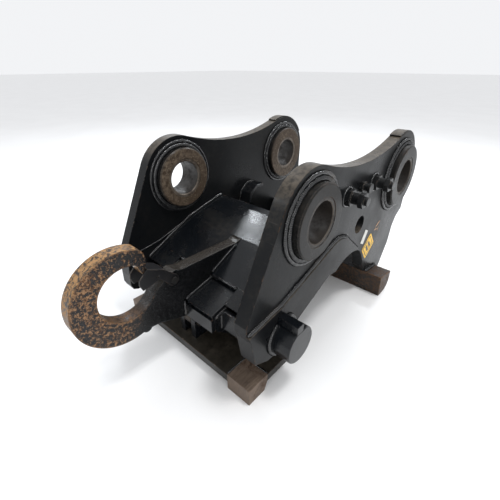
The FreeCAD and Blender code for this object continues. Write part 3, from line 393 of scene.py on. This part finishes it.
RING_END = -0.262
MATERIALS = {
    "plate_paint": painted("plate_paint", (0.0052, 0.0058, 0.0066), grime=0.42, chips=0.45, gloss=0.26,
                           rust_edges=0.35, scuffs=0.35, worn_and_lit_tops=0.5, specular=0.13),
    "frame_paint": painted("frame_paint", (0.0036, 0.0046, 0.0060), grime=0.18, chips=0.25, gloss=0.18,
                           rust_edges=0.5, scuffs=0.2, specular=0.3),
    "boss_paint": painted("boss_paint", (0.0085, 0.0083, 0.0080), grime=0.32, chips=0.75, gloss=0.26,
                          rust_edges=0.15, scuffs=0.6, bare_inside=True, specular=0.14),
    "wedge_paint": painted("wedge_paint", (0.0075, 0.0068, 0.0052), grime=0.85, chips=0.9, gloss=0.4,
                           rust_edges=0.6, scuffs=0.6, tan_chips=0.9, worn_and_lit_tops=0.12),
    "latch_paint": painted("latch_paint", (0.0100, 0.0100, 0.0110), grime=0.3, chips=0.7, gloss=0.3,
                           rust_edges=0.2, scuffs=0.5),
    "fitting_paint": painted("fitting_paint", (0.0060, 0.0065, 0.0070), grime=0.25, chips=0.35, gloss=0.24,
                             rust_edges=0.2, scuffs=0.3),
    "cylinder_paint": painted("cylinder_paint", (0.006, 0.006, 0.006), grime=0.4, chips=0.3, gloss=0.3,
                              rust_edges=0.3, scuffs=0.2),
    "pipe_steel": painted("pipe_steel", (0.007, 0.007, 0.0075), grime=0.3, chips=0.4, gloss=0.28,
                          rust_edges=0.3, scuffs=0.2),
    "worn_bore_steel": worn_steel("worn_bore_steel", (0.155, 0.128, 0.102), (0.042, 0.025, 0.014), 0.62,
                                  metallic=0.5, orange=0.1, bush=True),
    "bare_wear_steel": worn_steel("bare_wear_steel", (0.155, 0.112, 0.082), (0.075, 0.038, 0.020), 0.55,
                                  gloss=0.5, metallic=0.3, orange=0.5),
    "rusty_bar_steel": rusted_paint("rusty_bar_steel", (0.0060, 0.0046, 0.0036), 0.18,
                                    (0.050, 0.028, 0.015), orange=0.1, rim=0.45),
    "hook_steel": rusted_paint("hook_steel", (0.0080, 0.0080, 0.0084), 0.30, (0.29, 0.165, 0.085),
                               orange=0.5, rim=0.9, ring_end=RING_END),
    "dark_fastener_steel": simple_metal("dark_fastener_steel", (0.022, 0.021, 0.020), 0.35, metallic=0.4),
    "machined_steel": simple_metal("machined_steel", (0.06, 0.052, 0.045), 0.42),
    "chromed_rod": simple_metal("chromed_rod", (0.10, 0.092, 0.085), 0.22, bump=0.03),
    "seal_rubber": simple_metal("seal_rubber", (0.012, 0.012, 0.012), 0.6, metallic=0.0),
}
BEAD = bead_paint("weld_bead_paint", (0.0045, 0.0050, 0.0060))
record_slot = {item["node"]: item["material_slot"] for item in frame["record"]["subparts"]}
for node_name, node in NODES.items():
    material = MATERIALS[record_slot[node_name]]
    if not node.material_slots:
        node.data.materials.append(material)
    for material_slot in node.material_slots:
        material_slot.material = material


# ---------------------------------------------------------------- piece helpers
def add_mesh(name, vertices, faces, material, body="frame", smooth=True):
    mesh = bpy.data.meshes.new(name)
    mesh.from_pydata([tuple(v) for v in vertices], [], faces)
    mesh.validate()
    mesh.update()
    piece = bpy.data.objects.new(name, mesh)
    bpy.context.scene.collection.objects.link(piece)
    mesh.materials.append(material)
    for polygon in mesh.polygons:
        polygon.use_smooth = smooth
    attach(piece, body)
    return piece


def resample(points, step):
    """Points at equal spacing along a polyline."""
    spans = [(a, b, (b - a).length) for a, b in zip(points, points[1:])]
    total = sum(length for _, _, length in spans)
    count = max(2, round(total / step))
    result = []
    for index in range(count + 1):
        target = total * index / count
        for a, b, length in spans:
            if target <= length or (a, b, length) == spans[-1]:
                result.append(a.lerp(b, min(1.0, target / length) if length else 0.0))
                break
            target -= length
    return result


RIPPLE_PITCH = 0.0042
POINTS_PER_RIPPLE = 3
BEAD_SIDES = 10
BEAD_FLATTENING = 0.8
BEAD_LEAN = 0.35
TAPER_START = 0.35
TAPER_POINTS = 6.0
RIPPLE_DEPTH = 0.10
# slow changes of a bead's width: depth, rate, and how much the bead's seed shifts them
WANDER = ((0.07, 0.37, 1.0), (0.05, 1.31, 2.1))


def weld(name, points, radius, closed=False, body="frame", seed=0.0):
    """Weld bead along a path: a flattened tube with the ripple of overlapping puddles."""
    path = [Vector(p) for p in points]
    if closed:
        path = path + [path[0]]
    path = resample(path, RIPPLE_PITCH / POINTS_PER_RIPPLE)
    if closed:
        path = path[:-1]
    sides = BEAD_SIDES
    count = len(path)
    vertices, faces = [], []
    for index, point in enumerate(path):
        before = path[index - 1] if index or closed else point
        after = path[(index + 1) % count] if index < count - 1 or closed else point
        tangent = (after - before).normalized()
        side = tangent.cross(Vector((1, 0, 0)))
        if side.length < 1e-3:
            side = tangent.orthogonal()
        side.normalize()
        lift = side.cross(tangent).normalized()
        phase = index / POINTS_PER_RIPPLE
        ripple = 1.0 + RIPPLE_DEPTH * math.sin(2 * math.pi * phase)
        ripple += sum(depth * math.sin(rate * phase + shift * seed) for depth, rate, shift in WANDER)
        taper = 1.0
        if not closed:
            to_end = min(index, count - 1 - index)
            taper = min(1.0, TAPER_START + to_end / TAPER_POINTS)
        for k in range(sides):
            angle = 2 * math.pi * k / sides
            size = radius * ripple * taper
            lean = BEAD_LEAN * radius * math.cos(2 * math.pi * phase) * math.cos(angle) ** 2
            vertices.append(point + side * (math.cos(angle) * size)
                            + lift * (math.sin(angle) * size * BEAD_FLATTENING) + tangent * lean)
    rings = count if closed else count - 1
    for index in range(rings):
        for k in range(sides):
            a = index * sides + k
            b = index * sides + (k + 1) % sides
            c = ((index + 1) % count) * sides + (k + 1) % sides
            d = ((index + 1) % count) * sides + k
            faces.append((a, b, c, d))
    if not closed:
        faces.append(tuple(reversed(range(sides))))
        faces.append(tuple((count - 1) * sides + k for k in range(sides)))
    return add_mesh(name, vertices, faces, BEAD, body)


def circle_points(x, centre, radius, steps=96):
    """Full circle in the plane at X = x, without its closing point."""
    angles = [math.radians(360.0 * k / steps) for k in range(steps)]
    return [(x, centre[0] + radius * math.cos(a), centre[1] + radius * math.sin(a)) for a in angles]


def arc_points(centre, radius, first, last, steps=24):
    """Arc in Y and Z from the first angle to the last, in degrees."""
    angles = [math.radians(first + (last - first) * k / steps) for k in range(steps + 1)]
    return [(centre[0] + radius * math.cos(a), centre[1] + radius * math.sin(a)) for a in angles]


def seam(name, x, points, radius, nudge=0.0):
    """Pair of weld beads at +X and -X. The points (Y, Z) and the nudge up are in millimetres."""
    for side, sign in SIDES:
        path = [(sign * x, y * MM, (z + nudge) * MM) for y, z in points]
        weld(f"{name}_{side}", path, radius, seed=x / MM * 0.1 + sign)


STRAP_SINK = 0.001


def strap(name, x_low, x_high, centre, radius, first, last, thickness, slot, steps=40):
    """Thin band lying on a lobe's rim, with square ends, sunk a little into the rim."""
    vertices, faces = [], []
    for k in range(steps + 1):
        a = math.radians(first + (last - first) * k / steps)
        for x, r in ((x_low, radius - STRAP_SINK), (x_high, radius - STRAP_SINK),
                     (x_high, radius + thickness), (x_low, radius + thickness)):
            vertices.append((x, centre[0] + r * math.cos(a), centre[1] + r * math.sin(a)))
    for k in range(steps):
        for j in range(4):
            a, b = 4 * k + j, 4 * k + (j + 1) % 4
            faces.append((a, b, b + 4, a + 4))
    faces.append((3, 2, 1, 0))
    faces.append(tuple(4 * steps + j for j in range(4)))
    piece = add_mesh(name, vertices, faces, MATERIALS[slot], smooth=False)
    bm = bmesh.new()
    bm.from_mesh(piece.data)
    bmesh.ops.recalc_face_normals(bm, faces=bm.faces)
    bm.to_mesh(piece.data)
    bm.free()


def sheet_shape(name, x, centre, corners, turn, material, thickness=0.0004):
    """Thin flat shape lying on the right-hand plate; corners are in millimetres about its centre."""
    a = math.radians(turn)
    ring = [(centre[0] + y * math.cos(a) - z * math.sin(a), centre[1] + y * math.sin(a) + z * math.cos(a))
            for y, z in corners]
    count = len(ring)
    vertices = [(x, y * MM, z * MM) for y, z in ring] + [(x + thickness, y * MM, z * MM) for y, z in ring]
    faces = [tuple(reversed(range(count))), tuple(range(count, 2 * count))]
    faces += [(k, (k + 1) % count, (k + 1) % count + count, k + count) for k in range(count)]
    add_mesh(name, vertices, faces, material, smooth=False)


def rounded_square(half, radius, steps=6):
    """Corners of a square with round corners, in millimetres."""
    corners = []
    for quadrant in range(4):
        a0 = 90.0 * quadrant
        sy, sz = ((1, 1), (-1, 1), (-1, -1), (1, -1))[quadrant]
        corners += arc_points((sy * (half - radius), sz * (half - radius)), radius, a0, a0 + 90.0, steps)
    return corners


def rectangle(y_low, y_high, z_low, z_high):
    return [(y_low, z_low), (y_high, z_low), (y_high, z_high), (y_low, z_high)]


# ---------------------------------------------------------------- weld beads
BOSS_FACES = (("outer", PLATE_OUT, 1), ("inner", PLATE_IN, -1))
# each bead around a boss: its name, height off the plate, gap to the boss, radius and shift of the ripple
BOSS_BEADS = (("weld", 0.0030, 0.0040, 0.0075, 0.0), ("weld_wide", 0.0015, 0.0145, 0.0052, 2.0))
for side, sign in SIDES:
    for pin, centre, boss_r in (("stick", STICK, STICK_R), ("link", LINK, LINK_R)):
        for face, x, outward in BOSS_FACES:
            seed = boss_r * 90 + x * 31 + sign
            for kind, lift, gap, radius, shift in BOSS_BEADS:
                path = circle_points(sign * (x + outward * lift), centre, boss_r + gap)
                weld(f"{pin}_boss_{kind}_{face}_{side}", path, radius, closed=True, seed=seed + shift)


# lines (Y, Z) in millimetres that the beads follow
SEAM_LINE = [(-199.0, -178.0), (-96.0, -164.0), (0.0, -133.0), (95.0, -102.0), (113.0, -97.3), (132.0, -96.0),
             (152.0, -100.0), (170.0, -108.0), (263.0, -182.0)]
HOOD_LINE = [(-139.0, -202.2), (-95.0, -181.0), (17.0, -127.0), (128.0, -98.0), (153.0, -95.0)]
NOSE_LINE = [(-180.0, -213.0), (-91.0, -192.0)]
COVER_LINE = [(154.0, -145.0), (238.0, -143.0), (312.0, -201.0), (377.0, -309.0)]
PAD_LINE = [(236.0, -134.0), (246.0, -104.0), (274.0, -84.0), (306.0, -84.0)]
HOOK_ON_HOOD_LINE = [(-93.0, -179.0), (-6.0, -137.0)]
BAR_OUTER_LINE = [(364.0, -307.0), (447.0, -321.0)]
BAR_INNER_LINE = [(380.0, -309.5), (446.0, -321.0)]
BAR_HEEL_LINE = arc_points((414.0, -354.0), 33.0, 10.0, -38.0)
FRONT_WEB_LINE = [(-151.0, -266.0), (-151.0, -216.0)]
FRONT_PLATE_LINE = [(-183.0, -258.0), (-183.0, -216.0)]
WING_LINE = [(-139.0, -204.5), (-96.0, -192.5)]
HOUSING_LINE = [(-171.0, -224.0), (-90.0, -205.0)]
REAR_WEB_LINE = [(441.0, -318.0), (441.0, -192.0)]
STUB_LINE = arc_points((-94.0, -240.0), 45.0, 112.0, 428.0, 60)
seam("carrier_weld_outer", PLATE_OUT + 1.0 * MM, SEAM_LINE, 0.0065, nudge=2.0)
seam("carrier_weld_inner", PLATE_IN - 0.5 * MM, SEAM_LINE, 0.0030)
seam("hood_weld", PLATE_IN - 1.5 * MM, HOOD_LINE, 0.0070, nudge=1.5)
seam("hook_weld_hood", HOOK_SIDE + 1.5 * MM, HOOK_ON_HOOD_LINE, 0.0065, nudge=1.0)
seam("hook_weld_nose", HOOK_SIDE + 1.5 * MM, NOSE_LINE, 0.0055, nudge=1.5)
seam("arch_cover_weld", PLATE_IN - 1.5 * MM, COVER_LINE, 0.0060, nudge=1.0)
seam("stop_pad_weld", PLATE_IN - 1.5 * MM, PAD_LINE, 0.0050)
seam("bar_weld_outer", PLATE_OUT + 1.5 * MM, BAR_OUTER_LINE, 0.0080)
seam("bar_weld_inner", PLATE_IN - 1.5 * MM, BAR_INNER_LINE, 0.0070)
seam("bar_weld_heel", PLATE_OUT + 1.5 * MM, BAR_HEEL_LINE, 0.0060)
seam("front_web_weld", PLATE_IN - 1.5 * MM, FRONT_WEB_LINE, 0.0055)
seam("front_plate_weld", HOOK_SIDE + 1.0 * MM, FRONT_PLATE_LINE, 0.0050)
seam("nose_wing_weld", HOUSING_SIDE + 1.5 * MM, WING_LINE, 0.0045)
seam("front_web_weld_inner", HOUSING_SIDE + 1.5 * MM, FRONT_WEB_LINE, 0.0050)
seam("housing_weld", HOUSING_SIDE + 1.0 * MM, HOUSING_LINE, 0.0055)
seam("rear_web_weld", PLATE_IN - 1.5 * MM, REAR_WEB_LINE, 0.0050)

# short beads at the saddle stubs, the wedge blocks and the hood's front edge, in metres
BLOCK_SIDE_Y = (block_low.y + 2.0 * MM, block_high.y)
BLOCK_BACK_X = (block_low.x, block_high.x - 2.0 * MM)
HOOD_LIP_X = (HOOK_SIDE + 2.0 * MM, HOUSING_SIDE - 2.0 * MM)
HOOD_LIP_Z = -0.185
block_z = block_high.z - 1.5 * MM
for side, sign in SIDES:
    stub = [(sign * (CARRIER_OUT + 1.5 * MM), y * MM, z * MM) for y, z in STUB_LINE]
    weld(f"stub_weld_{side}", stub, 0.0065, seed=sign + 4.0)
    block_side = [(sign * (block_low.x - 1.5 * MM), y, block_z) for y in BLOCK_SIDE_Y]
    weld(f"wedge_block_weld_{side}", block_side, 0.0032, body="wedge", seed=sign + 6.0)
    block_back = [(sign * x, block_high.y + 1.5 * MM, block_z) for x in BLOCK_BACK_X]
    weld(f"wedge_block_weld_rear_{side}", block_back, 0.0032, body="wedge",
         seed=sign + 7.0)
    hood_lip = [(sign * x, HOOD_FRONT, HOOD_LIP_Z) for x in HOOD_LIP_X]
    weld(f"hood_front_weld_{side}", hood_lip, 0.0050, seed=sign + 8.0)

# width across the flats of the hexagonal fittings, in millimetres
PORT_FLATS = 41.0
PORT_RING_R = (PORT_FLATS / math.sqrt(3) - 1.0) * MM
for name, centre in (("front", (0.148, 0.008)), ("rear", (0.295, 0.008))):
    ring = circle_points(PLATE_OUT + 0.5 * MM, centre, PORT_RING_R, 60)
    weld(f"port_weld_{name}", ring, 0.0030, closed=True, seed=PORT_FLATS)

# ---------------------------------------------------------------- straps over the link lobes
STRAP_THICKNESS = 0.0045
STRAP_FIRST = 30.0
STRAP_LAST = 111.0
STRAP_INSET = 0.001
for side, sign in SIDES:
    x_low, x_high = sorted((sign * PLATE_IN, sign * PLATE_OUT))
    strap(f"lobe_strap_{side}", x_low + STRAP_INSET, x_high - STRAP_INSET, LINK, LOBE_R, STRAP_FIRST,
          STRAP_LAST, STRAP_THICKNESS, "plate_paint")

# ---------------------------------------------------------------- plain label and tag on the right-hand plate
# places (Y, Z) and sizes in millimetres, turns in degrees
LABEL = (347.0, -207.0)
LABEL_TURN = 40.0
LABEL_HALF = 31.0
LABEL_CORNER_R = 6.0
FRAME_HALF = 25.0
FRAME_BAR = 2.2
BAR_HALF_HEIGHT = 14.0
BAR_SPANS = ((-12.0, -4.0), (4.0, 12.0))
TAG = (302.0, -158.0)
TAG_TURN = 62.0
TAG_HALVES = (21.0, 11.0)
PRINT_THICKNESS = 0.0002
# each paint chip: place, turn and half length
CHIPS = (((392.0, -148.0), 24.0, 17.0), ((384.0, -163.0), -12.0, 12.0), ((401.0, -166.0), 70.0, 9.0))
label_orange = flat_material("label_orange", (0.85, 0.50, 0.02), 0.45)
label_black = flat_material("label_black", (0.012, 0.011, 0.010), 0.3)
chip_rust = flat_material("chip_rust", (0.34, 0.17, 0.06), 0.6)
label_white = flat_material("label_white", (0.62, 0.62, 0.58), 0.6)
face_x = PLATE_OUT + 0.0002
print_x = face_x + 0.0004
sheet_shape("label_base", face_x, LABEL, rounded_square(LABEL_HALF, LABEL_CORNER_R), LABEL_TURN, label_orange)
for index in range(4):
    bar = rectangle(-FRAME_HALF, FRAME_HALF, FRAME_HALF - FRAME_BAR, FRAME_HALF)
    sheet_shape(f"label_frame_{index}", print_x, LABEL, bar, LABEL_TURN + 90.0 * index, label_black,
                PRINT_THICKNESS)
for index, (low, high) in enumerate(BAR_SPANS):
    bar = rectangle(low, high, -BAR_HALF_HEIGHT, BAR_HALF_HEIGHT)
    sheet_shape(f"label_bar_{index}", print_x, LABEL, bar, LABEL_TURN, label_black, PRINT_THICKNESS)
tag = rectangle(-TAG_HALVES[0], TAG_HALVES[0], -TAG_HALVES[1], TAG_HALVES[1])
sheet_shape("tag_plate", face_x, TAG, tag, TAG_TURN, label_white)
for index, (place, turn, length) in enumerate(CHIPS):
    chip = [(-length, -2.4), (-0.2 * length, -3.6), (length, -1.2), (0.7 * length, 1.8), (0.1 * length, 3.4),
            (-0.6 * length, 2.0)]
    sheet_shape(f"paint_chip_{index}", face_x, place, chip, turn, chip_rust, PRINT_THICKNESS)

# ---------------------------------------------------------------- floor, light and camera
FLOOR_HALF = 30.0
floor_z = cad_bounds[0][2]
floor_corners = [(FLOOR_HALF * x, FLOOR_HALF * y, floor_z) for x, y in ((-1, -1), (1, -1), (1, 1), (-1, 1))]
floor_mesh = bpy.data.meshes.new("floor")
floor_mesh.from_pydata(floor_corners, [], [(0, 1, 2, 3)])
floor = bpy.data.objects.new("floor", floor_mesh)
bpy.context.scene.collection.objects.link(floor)
floor_graph = Graph("floor_paint")
floor_grain = floor_graph.noise(3.0, 3.0, 0.5)
floor_tone = floor_graph.mix(floor_graph.ramp(floor_grain, 0.3, 0.7), (0.86, 0.86, 0.86), (0.88, 0.88, 0.88))
floor_mesh.materials.append(floor_graph.finish(floor_tone, 0.9, round_edges=0, specular=0.2))

world = bpy.data.worlds.new("studio")
bpy.context.scene.world = world
world.use_nodes = True
world.node_tree.nodes["Background"].inputs["Color"].default_value = (0.97, 0.98, 1.0, 1.0)
world.node_tree.nodes["Background"].inputs["Strength"].default_value = 0.92
bpy.context.scene.view_settings.view_transform = "Standard"


def softbox(name, place, target, size, power, colour=(1, 1, 1)):
    """Rectangular area lamp that looks at the target."""
    data = bpy.data.lights.new(name, "AREA")
    data.shape = "RECTANGLE"
    data.size, data.size_y = size
    data.energy = power
    data.color = colour
    lamp = bpy.data.objects.new(name, data)
    lamp.location = place
    lamp.rotation_euler = (Vector(target) - Vector(place)).to_track_quat("-Z", "Y").to_euler()
    bpy.context.scene.collection.objects.link(lamp)


CENTRE = (0.0, 0.1, -0.15)
softbox("key_light", (0.9, 0.2, 2.3), CENTRE, (0.42, 0.42), 26.0)
softbox("back_light", (0.1, 2.1, 1.7), CENTRE, (0.45, 0.3), 24.0, (0.92, 0.96, 1.0))
softbox("rim_light", (-2.0, 1.2, 1.9), CENTRE, (0.4, 0.4), 26.0, (0.90, 0.95, 1.0))
softbox("side_light", (-1.5, -1.7, 1.6), CENTRE, (0.35, 0.35), 14.0, (0.92, 0.96, 1.0))
softbox("fill_light", (2.2, -1.4, 1.5), CENTRE, (0.3, 0.3), 9.0, (1.0, 0.98, 0.95))

# the photograph's camera, found from how the round bosses look in it
CAMERA_PLACE = (0.5288, -0.5193, 0.2724)
CAMERA_TILT = 59.63
CAMERA_TURN = 42.0
CAMERA_LENS = 22.845
camera_data = bpy.data.cameras.new("camera")
camera_data.sensor_width = 36.0
camera_data.lens = CAMERA_LENS
camera_data.clip_end = 100.0
camera = bpy.data.objects.new("camera", camera_data)
camera.location = CAMERA_PLACE
camera.rotation_euler = (math.radians(CAMERA_TILT), 0.0, math.radians(CAMERA_TURN))
bpy.context.scene.collection.objects.link(camera)
bpy.context.scene.camera = camera
